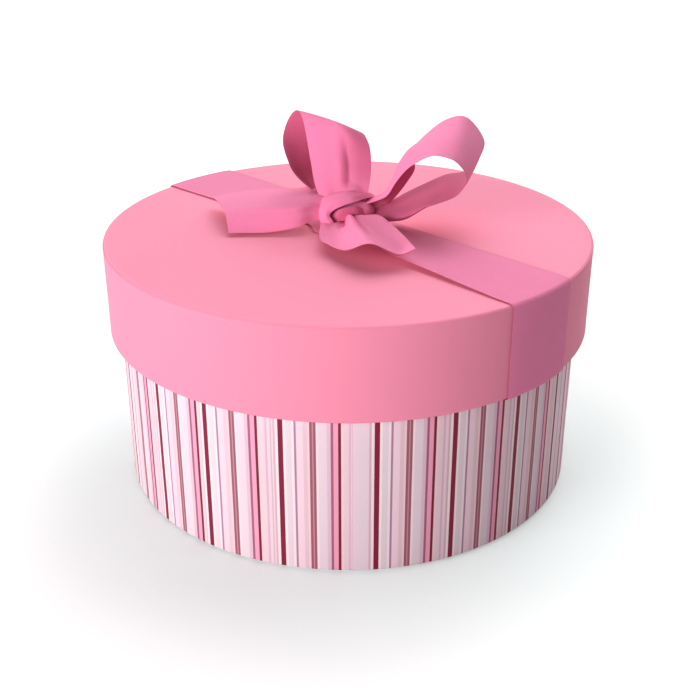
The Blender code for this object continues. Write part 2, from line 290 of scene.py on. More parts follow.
# uncoated paper: height = grain (fibres + feltRelief felt), with the colour swayed by cloud and fibres,
# and the roughness by the felt
def makePaperGroup():
    tree, given, target = newLookGroup("paperGrain", ["Grain", "Cloud", "Roughness"])
    fibres, felt, cloud = (
        addNode(tree, "TexNoise", {"Vector": given["Vector"], **paperLook[label]})
        for label in ("fibres", "felt", "cloud"))
    height = doMath(tree, "MULTIPLY_ADD", felt.outputs[0], paperLook["feltRelief"], fibres.outputs[0])
    gain = swayed(tree, cloud, given["Cloud"], swayed(tree, fibres, paperLook["fibreShade"], 1.0))
    setInputs(tree, target, {
        "Colour": scaledColour(tree, given["Colour"], gain),
        "Roughness": swayed(tree, felt, paperLook["feltRoughness"], given["Roughness"]),
        "Height": doMath(tree, "MULTIPLY", height, given["Grain"])})
    return tree


# a close weave with fine ribs, and a selvedge at both edges. Vector is the place on the ribbon in metres,
# x across from one edge and y along, and each sine turns once in its pitch:
# weave = (1 - crossShare) sin y + crossShare sin y sin x
def makeRibbonGroup():
    tree, given, target = newLookGroup("ribbonWeave", ["Width", "Rib", "Thread", "Selvedge"])
    place = given["Vector"]
    parts = addNode(tree, "SeparateXYZ", {0: place})
    across, along = parts.outputs[0], parts.outputs[1]
    sines = []
    for way, pitch in ((along, "Rib"), (across, "Thread")):
        turned = doMath(tree, "DIVIDE", doMath(tree, "MULTIPLY", way, math.tau), given[pitch])
        sines.append(doMath(tree, "SINE", turned))
    rib, warp = sines
    straight = doMath(tree, "MULTIPLY", rib, 1.0 - ribbonLook["crossShare"])
    crossed = doMath(tree, "MULTIPLY", rib, warp)
    weave = doMath(tree, "MULTIPLY_ADD", crossed, ribbonLook["crossShare"], straight)
    toEdge = doMath(tree, "MINIMUM", across, doMath(tree, "SUBTRACT", given["Width"], across))
    edge = fadeBetween(tree, toEdge, 0.0, given["Selvedge"])
    longer = addNode(tree, "VectorMath", {0: place, 1: ribbonLook["slub"]}, operation="MULTIPLY")
    slub, cloud = (
        addNode(tree, "TexNoise", {"Vector": where, "Scale": scale, "Detail": 2.0})
        for where, scale in ((longer.outputs[0], 1.0), (place, ribbonLook["cloud"])))
    shade = doMath(tree, "MULTIPLY_ADD", weave, ribbonLook["weaveShade"], 1.0)
    shade = swayed(tree, slub, ribbonLook["slubShade"], shade)
    shade = swayed(tree, cloud, ribbonLook["cloudShade"], shade)
    shade = doMath(tree, "MULTIPLY_ADD", edge, ribbonLook["edgeShade"], shade)
    rough = (slub.outputs[0], ribbonLook["slubRoughness"], ribbonLook["roughness"])
    setInputs(tree, target, {
        "Colour": scaledColour(tree, given["Colour"], shade),
        "Roughness": doMath(tree, "MULTIPLY_ADD", *rough),
        "Height": doMath(tree, "MULTIPLY_ADD", edge, ribbonLook["edgeRelief"], weave)})
    return tree


paperGroup = makePaperGroup()
ribbonGroup = makeRibbonGroup()


# the group's colour and roughness go straight into the shader, and its height as a bump
def dressShader(tree, shader, look, strength, distance):
    relief = addNode(tree, "Bump", {
        "Height": look.outputs["Height"], "Strength": strength, "Distance": distance})
    setInputs(tree, shader, {
        "Base Color": look.outputs["Colour"], "Roughness": look.outputs["Roughness"],
        "Normal": relief.outputs[0]})


# paper in this colour, a value or a socket
def dressPaper(tree, shader, colour, grain=1.0, cloud=0.05, roughness=0.62, bump=0.00002):
    place = addNode(tree, "TexCoord").outputs["Object"]
    paper = addNode(tree, "Group", {
        "Vector": place, "Colour": colour, "Grain": grain, "Cloud": cloud, "Roughness": roughness},
        node_tree=paperGroup)
    dressShader(tree, shader, paper, 1.0, bump)


# paper of one colour all over
def plainPaper(name, colour, specular, **look):
    material, tree, shader = newMaterial(name, **{"Specular IOR Level": specular})
    dressPaper(tree, shader, screenColour(*colour), **look)
    return material


# Stripes, left to right from one thick crimson line to the next: width in millimetres, colour

stripes = {
    "specular": 0.15, "roughness": 0.55,
    "repeatAngle": 17.84,
    "firstCrimson": 5.5,     # degrees from the paper's lap to the middle of its first thick line
    "bands": [
        (2.1, (133, 32, 59)), (1.0, (255, 230, 236)), (2.5, (233, 212, 219)), (1.1, (250, 224, 232)),
        (0.9, (176, 132, 156)), (2.8, (246, 210, 223)), (1.6, (232, 196, 206)), (0.9, (252, 206, 216)),
        (1.1, (160, 92, 108)), (0.5, (198, 142, 152)), (1.0, (160, 92, 108)), (0.9, (252, 224, 230)),
        (3.5, (236, 211, 221)), (1.6, (230, 190, 207)), (1.0, (168, 98, 126)), (1.9, (246, 162, 190)),
        (1.2, (124, 34, 54)), (0.9, (252, 208, 216)), (2.2, (240, 206, 216)), (0.9, (222, 182, 198)),
        (1.3, (242, 208, 220)), (0.9, (220, 180, 190)), (1.2, (255, 226, 234)),
    ],
    # plain at the sheet's own edge, at the lap: from the edge to end, in metres
    "margin": {"end": 0.0070, "colour": (236, 210, 221)},
    "edge": {"end": 0.0004, "colour": (236, 176, 196)},
    # left of the lap the paper is drawn out, then pushed together: from and to, left of the lap, and how
    # far to the left the lines are moved at each end, in metres
    "drawn": [
        (0.0325, 0.0664, 0.0012, 0.0020),
        (0.0664, 0.0760, -0.0024, -0.0018),
        (0.0760, 0.1200, -0.0012, -0.0010),
    ],
}


# a ramp with hard steps, read at the share of a repeat, which is the fraction of
# (across + moved - start) / pitch + 1, with across from the lap to the right
def makeStripedPaper(radius):
    material, tree, shader = newMaterial("stripedPaper", **{"Specular IOR Level": stripes["specular"]})
    place = addNode(tree, "UVMap", uv_map="UVMap").outputs[0]
    fromLap = addNode(tree, "SeparateXYZ", {0: place}).outputs[0]
    pitch = math.radians(stripes["repeatAngle"]) * radius
    widths = np.array([width for width, colour in stripes["bands"]])
    widths = widths / widths.sum()
    start = math.radians(stripes["firstCrimson"]) * radius - widths[0] * pitch / 2
    across = fromLap
    left = doMath(tree, "SUBTRACT", math.tau * radius, fromLap)
    for begins, ends, atBegin, atEnd in stripes["drawn"]:
        moved = addNode(tree, "MapRange", {
            "Value": left, "From Min": begins, "From Max": ends, "To Min": atBegin, "To Max": atEnd})
        begun = doMath(tree, "GREATER_THAN", left, begins)
        inside = doMath(tree, "MULTIPLY", begun, doMath(tree, "LESS_THAN", left, ends))
        across = doMath(tree, "MULTIPLY_ADD", moved.outputs[0], inside, across)
    shifted = doMath(tree, "SUBTRACT", across, start)
    repeat = doMath(tree, "FRACT", doMath(tree, "ADD", doMath(tree, "DIVIDE", shifted, pitch), 1.0))
    ramp = addNode(tree, "ValToRGB", {0: repeat})
    ramp.color_ramp.interpolation = "CONSTANT"
    edges = np.concatenate([[0.0], np.cumsum(widths)[:-1]])
    elements = ramp.color_ramp.elements
    elements.remove(elements[1])
    elements[0].color = screenColour(*stripes["bands"][0][1])
    for edge, (width, colour) in list(zip(edges, stripes["bands"]))[1:]:
        elements.new(edge).color = screenColour(*colour)
    shown = ramp.outputs[0]
    for plain in (stripes["margin"], stripes["edge"]):
        near = doMath(tree, "LESS_THAN", fromLap, plain["end"])
        shown = mixedColour(tree, near, shown, screenColour(*plain["colour"]))
    dressPaper(tree, shader, shown, roughness=stripes["roughness"])
    return material


# satin on its face, duller and deeper on its reverse, partly its own colour and partly painted shade for the
# loops' dark insides; the UV map sets the reverse off along by a step far beyond any ribbon's length
def makeRibbon(name):
    material, tree, shader = newMaterial(name, **ribbonLook["shader"])
    place = addNode(tree, "UVMap", uv_map="UVMap").outputs[0]
    along = addNode(tree, "SeparateXYZ", {0: place}).outputs[1]
    onShadedReverse = doMath(tree, "GREATER_THAN", along, shadedReverseStep / 2)
    face, shadedReverse = screenColour(*ribbonLook["face"]), screenColour(*ribbonLook["shadedReverse"])
    weave = addNode(tree, "Group", {
        "Vector": place, "Colour": mixedColour(tree, onShadedReverse, face, shadedReverse), **ribbonLook["weave"]},
        node_tree=ribbonGroup)
    dressShader(tree, shader, weave, ribbonLook["bumpStrength"], ribbonLook["bump"])
    return material


papers = {
    "pinkTopPaper": {"colour": (255, 152, 180), "specular": 0.12},
    # the skirt's paper is a little darker and deeper than the top's: painted shade for the lid's side
    "pinkSkirtPaperShaded": {"colour": (250, 146, 174), "specular": 0.12},
    "liningPaper": {"colour": (247, 242, 243), "specular": 0.3, "cloud": 0.03, "roughness": 0.75},
    "greyboard": {"colour": (168, 160, 150), "specular": 0.2, "grain": 1.6, "cloud": 0.16, "roughness": 0.9,
                  "bump": 0.00004},
}
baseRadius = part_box("base_wrap")[1].x
topPaper, shadedSkirtPaper, liningPaper, board = (plainPaper(name, **look) for name, look in papers.items())
stripedPaper = makeStripedPaper(baseRadius)
ribbonCloth = makeRibbon("pinkRibbon")
print("materials made:", len(bpy.data.materials))


# Turned pieces: a closed outline of (radius, height) carried once round Z

lastStep = 0.0006      # the last step round, narrow so that a lap's end is steep, in radians
lapEase = 0.0015       # beyond a lap, the way over which the strip comes down, in metres


# the sheet whose showing face follows path: its back lies thickness behind, and the two close into a ring.
# normal = the path's direction turned a quarter to the left
def sheetOutline(path, thickness):
    direction = np.gradient(path, axis=0)
    direction /= np.linalg.norm(direction, axis=1)[:, None]
    normal = np.stack([-direction[:, 1], direction[:, 0]], axis=1)
    along = alongPath(path)
    outline = np.concatenate([path, (path - normal * thickness)[::-1]])
    return outline, np.concatenate([along, along[::-1]])


# an outline's points, with the distance along it, carried round from the lap:
# x = (radius + push) cos angle, y = (radius + push) sin angle, z = height + lift
# push and lift are functions of the angle from the lap, the outline's height and the distance along it
def turnedMesh(name, outline, lapAngle, uvRadius, push=None, lift=None, steps=300, solid=False):
    places, along = outline
    angles = np.linspace(0.0, math.tau - lastStep, steps)[None, :]
    radius, height = places[:, :1], places[:, 1:]
    distance = along[:, None]
    out = radius + (push(angles, height, distance) if push else 0.0) + 0.0 * angles
    up = height + (lift(angles, height, distance) if lift else 0.0) + 0.0 * angles
    points = np.stack([out * np.cos(angles + lapAngle), out * np.sin(angles + lapAngle), up], axis=-1)
    turn = np.concatenate([angles[0], [math.tau]])
    columnUv, rowUv = np.meshgrid(turn * uvRadius, along)
    uv = np.stack([columnUv, rowUv], axis=-1)
    if solid:     # the first and last points lie on the axis
        tips = [(0.0, 0.0, places[0, 1]), (0.0, 0.0, places[-1, 1])]
        return gridMesh(name, points[1:-1], uv[1:-1], wrapColumns=True, poles=(tips, (along[0], along[-1])))
    uv = np.concatenate([uv, uv[:1]])
    return gridMesh(name, points, uv, wrapRows=True, wrapColumns=True)


# the strip's start lies over its end, a step that eases down beyond the lap, and the strip has slow waves:
# lapStep + wave (swell - 1)
def lapAndWaves(angles, height, radius, style):
    place = angles * radius
    lap = style["lapStep"] * (1.0 - easeBetween(place, style["lapWidth"], style["lapWidth"] + lapEase))
    return lap + style["wave"] * (swell(place, height, style["waveLength"]) - 1.0)


# the swell over a flat round face, away from the axis
def roundSwell(angles, away, length):
    return swell(away * np.cos(angles), away * np.sin(angles), length)


# lengths in metres. wave is the height of slow waves of waveLength. steps counts the points round,
# and step is the longest stretch between points along the sheet.
baseWrap = {
    "inner": 0.1028,         # the lining's showing face
    "turnIn": 0.015, "turnUnder": 0.012, "thickness": 0.0003, "rimRound": 0.0010, "footRound": 0.0009,
    "lap": math.radians(-44.2), "lapWidth": 0.0088, "lapStep": 0.00024, "wave": 0.00006, "waveLength": 0.045,
    "rimEase": 0.004, "footEase": (0.126, 0.129),       # the second along the sheet, where it turns under
    "pleat": {"depth": 0.00008, "count": 61.0, "drift": 1.7, "drifts": 7.0},
    "hem": {"width": 0.006, "lift": 0.00035, "waveLength": 0.07},
    "steps": 420, "step": 0.0035,
}
wrapLow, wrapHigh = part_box("base_wrap")


# out = outside (lap and waves) - (1 - outside) |pleats|
def wrapPush(angles, height, distance):
    turnIn = baseWrap["turnIn"]
    outside = fullBetween(distance, turnIn, turnIn + baseWrap["rimEase"], *baseWrap["footEase"])
    pleat = baseWrap["pleat"]
    drift = pleat["drift"] * np.sin(angles * pleat["drifts"])
    pleats = pleat["depth"] * np.sin(angles * pleat["count"] + drift)
    lapped = lapAndWaves(angles, height, baseRadius, baseWrap)
    return outside * lapped - (1.0 - outside) * np.abs(pleats)


# up = lift * swell at the turned-in edge, fading over the hem's width
def wrapLift(angles, height, distance):
    hem = baseWrap["hem"]
    fade = 1.0 - easeBetween(distance, 0.0, hem["width"])
    return fade * hem["lift"] * swell(angles * baseRadius, 0.0, hem["waveLength"])


wrapPath = roundedPath(
    [(baseWrap["inner"], wrapHigh.z - baseWrap["turnIn"]), (baseWrap["inner"], wrapHigh.z),
     (baseRadius, wrapHigh.z), (baseRadius, wrapLow.z), (baseRadius - baseWrap["turnUnder"], wrapLow.z)],
    [baseWrap["rimRound"]] * 2 + [baseWrap["footRound"]], baseWrap["step"])
mesh = turnedMesh(
    "stripedWrap", sheetOutline(wrapPath, baseWrap["thickness"]), baseWrap["lap"], baseRadius, wrapPush,
    wrapLift, steps=baseWrap["steps"])
addPiece(mesh, stripedPaper, "base", ["base_wrap"])

lining = {
    "edgeRound": 0.00008, "edgeSteps": 3,
    "closeGap": 1e-6,      # between the ring outline's first point and its last, which is dropped
    "ring": {"lapWidth": 0.010, "lapStep": -0.00025, "waveLength": 0.06, "steps": 300, "step": 0.004},
    "disc": {"rim": 0.01, "waveLength": 0.05, "steps": 240, "step": 0.006},
}


# a ring of paper with eased edges, in a node's place: its lap and waves are on the inside
def addRing(name, node, body, inner, lap, wave):
    low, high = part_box(node)
    middle = (low.z + high.z) / 2
    ring = {**lining["ring"], "wave": wave}
    corners = [(high.x, middle), (high.x, low.z), (inner, low.z), (inner, high.z), (high.x, high.z),
               (high.x, middle + lining["closeGap"])]
    path = roundedPath(corners, [lining["edgeRound"]] * 4, ring["step"], lining["edgeSteps"])[:-1]

    def push(angles, height, distance):
        return lapAndWaves(angles, height, inner, ring)

    made = turnedMesh(name, (path, alongPath(path)), lap, inner, push, steps=ring["steps"])
    addPiece(made, liningPaper, body, [node])


# a disc of paper with eased edges, in a node's place, from the axis out over the top and back underneath:
# up = wave * swell, which fades over rim at the axis and at the edge
def addDisc(name, node, body, wave):
    low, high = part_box(node)
    disc = lining["disc"]
    corners = [(0.0, high.z), (high.x, high.z), (high.x, low.z), (0.0, low.z)]
    path = roundedPath(corners, [lining["edgeRound"]] * 2, disc["step"], lining["edgeSteps"])

    def lift(angles, height, distance):
        away = np.minimum(distance, 2 * high.x - distance)
        return wave * roundSwell(angles, away, disc["waveLength"]) * easeBetween(away, 0.0, disc["rim"])

    made = turnedMesh(
        name, (path, alongPath(path)), 0.0, high.x, None, lift, steps=disc["steps"], solid=True)
    addPiece(made, liningPaper, body, [node])


addRing("baseLining", "base_lining", "base", baseWrap["inner"], lap=math.radians(118.0), wave=0.00005)
addDisc("floorPaper", "base_floor_paper", "base", wave=0.00006)
addDisc("undersidePaper", "base_underside_paper", "base", wave=0.00002)
for node in ("base_wall", "base_board", "lid_board", "lid_hoop"):
    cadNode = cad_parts[node]
    cadNode.data.materials.clear()
    cadNode.data.materials.append(board)
print("base dressed")


# Lid

lid = {
    "thickness": 0.0003, "edgeRound": 0.0012, "turnDown": 0.008, "turnIn": 0.015, "footRound": 0.0008,
    "hemInner": 0.1077,         # the showing face of the skirt paper's hem inside
    "flangeOuter": 0.1104,      # the top paper's turned-down edge, under the skirt paper
    "flangeDrops": (0.0016, 0.0022), "flangeRound": 0.0002,      # where it steps in, down from the top
    "skirtArc": (34.0, 6),      # the skirt paper's start on the rounded edge, in degrees, and its points
    "lap": math.radians(152.0), "lapWidth": 0.010, "lapStep": 0.00022,
    "wave": 0.00005, "waveLength": 0.05, "topWaveLength": 0.08,
    # along the sheets: where the waves begin, are full, fade and are gone
    "topFace": (0.0, 0.012, 0.100, 0.108), "skirtFace": (0.001, 0.004, 0.0385, 0.0405),
    "topSteps": 320, "topStep": 0.004, "skirtSteps": 360, "skirtStep": 0.003,
}
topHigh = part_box("lid_top_paper")[1]
skirtLow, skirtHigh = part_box("lid_skirt_wrap")
lidRadius, lidTop, lidFoot = skirtHigh.x, topHigh.z, skirtLow.z
paperInside = lidRadius - lid["thickness"]          # where the top paper passes under the skirt paper


# up = wave * swell on the flat face
def topLift(angles, height, distance):
    away = np.minimum(distance, lidRadius)
    return fullBetween(away, *lid["topFace"]) * lid["wave"] * roundSwell(angles, away, lid["topWaveLength"])


flangeInner, flangeFoot = (lidTop - drop for drop in lid["flangeDrops"])
topPath = roundedPath(
    [(0.0, lidTop), (paperInside, lidTop), (paperInside, flangeInner), (lid["flangeOuter"], flangeFoot),
     (lid["flangeOuter"], lidTop - lid["turnDown"])],
    [lid["edgeRound"], lid["flangeRound"], lid["flangeRound"]], lid["topStep"])
mesh = turnedMesh(
    "topPaper", sheetOutline(topPath, lid["thickness"]), 0.0, lidRadius, None, topLift,
    steps=lid["topSteps"], solid=True)
addPiece(mesh, topPaper, "lid", ["lid_top_paper"])


# out = the lap and waves, on the outside only
def skirtPush(angles, height, distance):
    return fullBetween(distance, *lid["skirtFace"]) * lapAndWaves(angles, height, lidRadius, lid)


edgeCentre = (paperInside - lid["edgeRound"], lidTop - lid["edgeRound"])
outerRound = lid["edgeRound"] + lid["thickness"]
arcStart, arcCount = lid["skirtArc"]
edgeArc = [(edgeCentre[0] + outerRound * math.cos(angle), edgeCentre[1] + outerRound * math.sin(angle))
           for angle in np.radians(np.linspace(arcStart, 0.0, arcCount))]
skirtRest = roundedPath(
    [edgeArc[-1], (lidRadius, lidFoot), (lid["hemInner"], lidFoot),
     (lid["hemInner"], lidFoot + lid["turnIn"])],
    [lid["footRound"], lid["footRound"]], lid["skirtStep"])
skirtPath = np.concatenate([edgeArc[:-1], skirtRest])
mesh = turnedMesh(
    "shadedSkirtPaper", sheetOutline(skirtPath, lid["thickness"]), lid["lap"], lidRadius, skirtPush,
    steps=lid["skirtSteps"])
addPiece(mesh, shadedSkirtPaper, "lid", ["lid_skirt_wrap"])

addRing("lidLining", "lid_lining", "lid", lid["hemInner"], lap=math.radians(70.0), wave=0.00004)
addDisc("lidInnerPaper", "lid_inner_disc", "lid", wave=0.00005)
print("lid dressed")


# Ribbon pieces

edgePower = 10.0        # how late the ribbon thins towards its edges
leastHalf = 0.05        # the least share of the squared half thickness, at the very edge


# a strip of ribbon from the grid of its middle surface: rows follow the ribbon, columns run across.
# The two faces lie half the thickness either side along the normal, and it thins at the edges:
# half = thickness / 2 * sqrt(1 - |2 share across - 1|^edgePower)
def addRibbon(name, middle, thickness, nodes, shadedReverse="lower", along=None):
    columns = middle.shape[1]
    tangentAlong = np.gradient(middle, axis=0)
    tangentAcross = np.gradient(middle, axis=1)
    normal = np.cross(tangentAlong, tangentAcross)
    normal /= np.linalg.norm(normal, axis=-1)[..., None]
    share = np.linspace(0.0, 1.0, columns)
    half = thickness / 2 * np.sqrt(np.clip(1.0 - np.abs(2 * share - 1) ** edgePower, leastHalf, 1.0))
    upper = middle + normal * half[None, :, None]
    lower = middle - normal * half[None, :, None]
    points = np.concatenate([upper, lower[:, ::-1]], axis=1)
    if along is None:
        along = alongPath(middle[:, columns // 2])
    across = share * ribbonWidth
    acrossRing = np.concatenate([across, across[::-1], across[:1]])
    uv = np.stack(np.meshgrid(acrossRing, along), axis=-1)
    if shadedReverse == "lower":
        uv[:, columns:-1, 1] += shadedReverseStep
    else:
        uv[:, :columns, 1] += shadedReverseStep
        uv[:, -1, 1] += shadedReverseStep
    made = gridMesh(name, points, uv, wrapColumns=True, joinEnds=True)
    return addPiece(made, ribbonCloth, "lid", nodes)


band = {
    "thickness": 0.00045, "across": 33, "step": 0.0024, "arcSteps": 9,
    "inset": 0.00025,           # its middle surface lies this far inside the solid's faces
    "inner": 0.10715, "hem": 0.012, "edgeRound": 0.00175, "footRound": 0.0013,
    # slow waves, which fade near the lid's edge: shifts and length of the swell on either half
    "wave": 0.00010, "waveFade": (0.002, 0.010),
    "rightWave": (0.3, 0.0, 0.033), "leftWave": (0.0, -0.02, 0.036),
    "edgeLift": 0.00012, "edgeLiftPower": 6, "edgeLiftEnds": 0.004,
    # the knot draws the near edge in by a share of its way from the middle, and pulls it up on the right
    "drawn": 0.18, "drawnOver": (0.100, 0.025), "pulledUp": 0.0028, "pullBegins": (0.003, 0.018),
    # and further in on the left, under the tail
    "tucked": 0.44, "tuckedOver": (0.060, 0.022), "tuckBegins": (0.0, 0.016),
}
bandLow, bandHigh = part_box("ribbon_band")
bandTop = bandHigh.z - band["inset"]
bandOuter = bandHigh.x - band["inset"]
bandFoot = bandLow.z + band["inset"]
bandSide = roundedPath(
    [(0.0, bandTop), (bandOuter, bandTop), (bandOuter, bandFoot), (band["inner"], bandFoot),
     (band["inner"], lidFoot + band["hem"])],
    [band["edgeRound"], band["footRound"], band["footRound"]], band["step"], band["arcSteps"])


# over the top x runs straight out, and beyond the edge x = sqrt(radius^2 - y^2), so that the ribbon hugs
# the round. ribbonWidth only keeps the root real on the top, where it isn't used.
def bandSurface(path, across):
    side = np.maximum(path[:, :1], 0.0)
    straightEnd = bandOuter - band["edgeRound"]
    onTop = side <= straightEnd
    reachTop = np.sqrt(straightEnd**2 - across**2) / straightEnd
    hugging = np.sqrt(np.maximum(side, ribbonWidth) ** 2 - across**2)
    x = np.where(onTop, side * reachTop, hugging)
    return x, across + 0.0 * side, path[:, 1:] + 0.0 * across


# wave * swell, from 0 at the lid's edge to full a little way in
def bandWaves(x, across, along, style):
    acrossShift, alongShift, length = style
    slow = swell(across + acrossShift, along + alongShift, length)
    return slow * band["wave"] * easeBetween(bandOuter - x, *band["waveFade"])


# 0 from begins on, 1 from full inwards, and straight between
def shareTowardsKnot(x, begins, full):
    return np.clip((begins - x) / (begins - full), 0.0, 1.0)


across = np.linspace(-ribbonWidth / 2, ribbonWidth / 2, band["across"])[None, :]
x, y, z = bandSurface(bandSide, across)
halfAlong = alongPath(bandSide)
onTop = x < bandOuter - band["edgeLiftEnds"]
edgeLift = band["edgeLift"] * np.abs(2 * across / ribbonWidth) ** band["edgeLiftPower"] * onTop
nearShare = np.maximum(-2 * across / ribbonWidth, 0.0)
drawnShare = shareTowardsKnot(x, *band["drawnOver"])
tuckedShare = shareTowardsKnot(x, *band["tuckedOver"])
pulledUp = band["pulledUp"] * drawnShare * nearShare**2 * easeBetween(x, *band["pullBegins"])
rightY = y * (1.0 - band["drawn"] * drawnShare * nearShare)
rightHalf = np.stack([x, rightY, z + bandWaves(x, y, x, band["rightWave"]) + edgeLift + pulledUp], axis=-1)
tucked = band["tucked"] * tuckedShare * easeBetween(x, *band["tuckBegins"])
leftY = y * (1.0 - np.maximum(band["drawn"] * drawnShare, tucked) * nearShare)
leftHalf = np.stack([-x, leftY, z + bandWaves(x, leftY, -x, band["leftWave"]) + edgeLift], axis=-1)
join = (rightHalf[:1] + leftHalf[:1]) / 2
middle = np.concatenate([leftHalf[:0:-1], join, rightHalf[1:]])
bandAlong = np.concatenate([-halfAlong[:0:-1], halfAlong]) + halfAlong[-1]
bandPiece = addRibbon("ribbonBand", middle, band["thickness"], ["ribbon_band"], along=bandAlong)


# Bow: one ribbon tied over the middle of the band, in its own frame turned from the band's, with x to the
# right, y away and z up from the band's face, in ribbon widths

bow = {
    "turn": math.radians(45.0), "seatGap": 0.0003, "thickness": 0.00045, "along": 150, "across": 41,
    "knotPlace": (0.0, 0.0, 0.175), "knotRadius": 0.008, "gatherDrift": 1.3,      # the radius in metres
    "rowScale": 100.0,      # the tables' rows are in hundredths of a ribbon width
}
tiny = 1e-9      # keeps a normal where the surface is pinched from a division by 0


# a place in the bow's frame as one in the lid's: turned about Z, at the ribbon's scale
def bowPoints(places):
    sideways, away, up = (places[..., axis] * ribbonWidth for axis in range(3))
    x = sideways * math.cos(bow["turn"]) - away * math.sin(bow["turn"])
    y = sideways * math.sin(bow["turn"]) + away * math.cos(bow["turn"])
    return np.stack([x, y, bandHigh.z + bow["seatGap"] + up], axis=-1)


# a smooth surface through the table's rows: Catmull-Rom along, then across
def bowSurface(table, along, across):
    rows = smoothThrough(np.array(table) / bow["rowScale"], along)
    grid = np.swapaxes(smoothThrough(np.swapaxes(rows, 0, 1), across), 0, 1)
    return bowPoints(grid)


# moves the surface along its normal by amount, an array over the grid, in metres
def pushed(surface, amount):
    normal = np.cross(np.gradient(surface, axis=0), np.gradient(surface, axis=1))
    normal /= np.maximum(np.linalg.norm(normal, axis=-1), tiny)[..., None]
    return surface + normal * amount[..., None]


# gathers near the knot: depth exp(-s / reach) sin(tau folds across + phase + a slow drift), where s is the
# distance from the knot
def gathers(surface, folds, depth, reach, phase):
    knotPlace = bowPoints(np.array(bow["knotPlace"]))
    distance = np.linalg.norm(surface - knotPlace, axis=-1)
    share = np.linspace(0.0, 1.0, surface.shape[1])[None, :]
    fade = np.exp(-np.maximum(distance - bow["knotRadius"], 0.0) / reach)
    drift = bow["gatherDrift"] * np.sin(math.tau * share)
    return depth * fade * np.sin(math.tau * folds * share + phase + drift)


# rows are the surface's places, and length is the ribbon's flat one, in metres. The style names which face
# of the mesh is the ribbon's reverse, which takes the darker reverse colour, partly painted shade. A valley
# is its place across, its widths either side, its depth in metres, and where along it begins, is full, fades
# and is gone.
leftLoop = {
    "rows": [
        [(-27, -2, 20), (-12, -3, 20), (3, -2, 20), (18, 0, 19)],
        [(-39, 6, 47), (-19, 3, 47), (3, 0, 47), (24, 4, 40)],
        [(-45, 16, 77), (-21, 10, 76), (3, 5, 73), (28, 17, 65)],
        [(-53, 30, 119), (-28, 22, 115), (-1, 14, 106), (26, 22, 90)],
        [(-61, 38, 131), (-34, 32, 125), (-8, 24, 118), (18, 26, 106)],
        [(-72, 46, 118), (-45, 47, 110), (-14, 49, 98), (15, 42, 90)],
        [(-79, 45, 94), (-55, 54, 84), (-21, 65, 73), (14, 60, 68)],
        [(-74, 38, 72), (-53, 47, 63), (-21, 59, 54), (11, 56, 51)],
        [(-60, 22, 52), (-44, 29, 46), (-17, 39, 41), (8, 38, 40)],
        [(-15, 12, 16), (-7, 13, 16), (0, 13, 16), (8, 13, 15)],
    ],
    "length": 0.093, "shadedReverse": "upper", "folds": 2.5, "depth": 0.0004, "reach": 0.007, "phase": 0.6,
    "valleys": [(0.65, (0.11, 0.25), 0.0028, (0.08, 0.15, 0.22, 0.36))],
}
rightLoop = {
    "rows": [
        [(15, -4, 26), (15, 3, 26), (15, 10, 21)],
        [(36, -6, 33.5), (35, 4, 36), (43, 8, 23)],
        [(47, -8, 40.5), (44, 4, 41), (55, 14, 29)],
        [(56, -14, 57.5), (53, 6, 56), (70, 21, 46)],
        [(67, -20, 74), (61, 10, 75), (81, 32, 62)],
        [(79, -32, 87), (73, 20, 88), (78, 50, 78)],
        [(97, -39, 97), (93, 12, 100), (94, 61, 95)],
        [(117, -42, 94), (118, 8, 108), (119, 58, 115)],
        [(128, -42, 86), (137, 7, 105), (144, 55, 118)],
        [(135, -42, 75), (152, 6, 85), (166, 53, 90)],
        [(135, -42, 63), (148, 4, 65), (158, 50, 67)],
        [(125, -42, 50), (135, 3, 54), (144, 47, 54)],
        [(110, -39, 42), (115, 2, 48), (120, 42, 51)],
        [(91, -31, 32), (91, -25, 36), (96, 34, 43)],
        [(70, -2, 8.8), (69, -26, 22), (71, 24, 34)],
        [(51, 3, 4), (50, -17, 16), (53, 16, 27)],
        [(15, -4, 8), (15, -6, 12), (15, 8, 14)],
    ],
    "length": 0.128, "shadedReverse": "lower", "folds": 2.0, "depth": 0.0007, "reach": 0.008, "phase": 0.0,
    "valleys": [],
}
leftTail = {
    "rows": [
        [(-12, -12, 11), (-12, -7, 22), (-12, 2, 31), (-12, 12, 32)],
        [(-40, -20, 13), (-41, -13, 26), (-41, 0, 36), (-43, 25, 40)],
        [(-60, -29, 8), (-61, -20, 25), (-62, 4, 33), (-64, 32, 36)],
        [(-95, -31, 2), (-96, -16, 22), (-105, 18, 27), (-113, 57, 27)],
        [(-141, -33, 2), (-148, -5, 19), (-162, 38, 19), (-174, 80, 11)],
    ],
    "length": 0.057, "shadedReverse": "upper", "folds": 2.5, "depth": 0.0005, "reach": 0.012, "phase": 1.4,
    "valleys": [(0.36, (0.03, 0.12), -0.0009, (0.12, 0.30, 0.80, 1.00))],
}
frontTail = {
    "rows": [
        [(-18, -6, 12), (-10, -8, 12), (0, -8, 17), (8, -8, 15), (16, -6, 15)],
        [(-32, -19, 10), (-10, -27, 13), (4, -28, 24), (18, -28, 20), (36, -27, 22)],
        [(-33, -42, 11), (-11, -52, 14), (9, -62, 27), (27, -55, 19), (49, -52, 21)],
        [(-33, -68, 12), (-7, -93, 15), (17, -105, 29), (41, -98, 17), (62, -95, 22)],
        [(-31, -87, 12), (-4, -125, 15), (24, -145, 30), (55, -141, 16), (74, -139, 22)],
    ],
    "length": 0.052, "shadedReverse": "lower", "folds": 3.0, "depth": 0.0004, "reach": 0.007, "phase": 0.4,
    "valleys": [
        (0.30, (0.05, 0.08), -0.0024, (0.02, 0.12, 0.30, 0.62)),
        (0.60, (0.10, 0.03), -0.0022, (0.08, 0.20, 0.55, 0.95)),
    ],
}


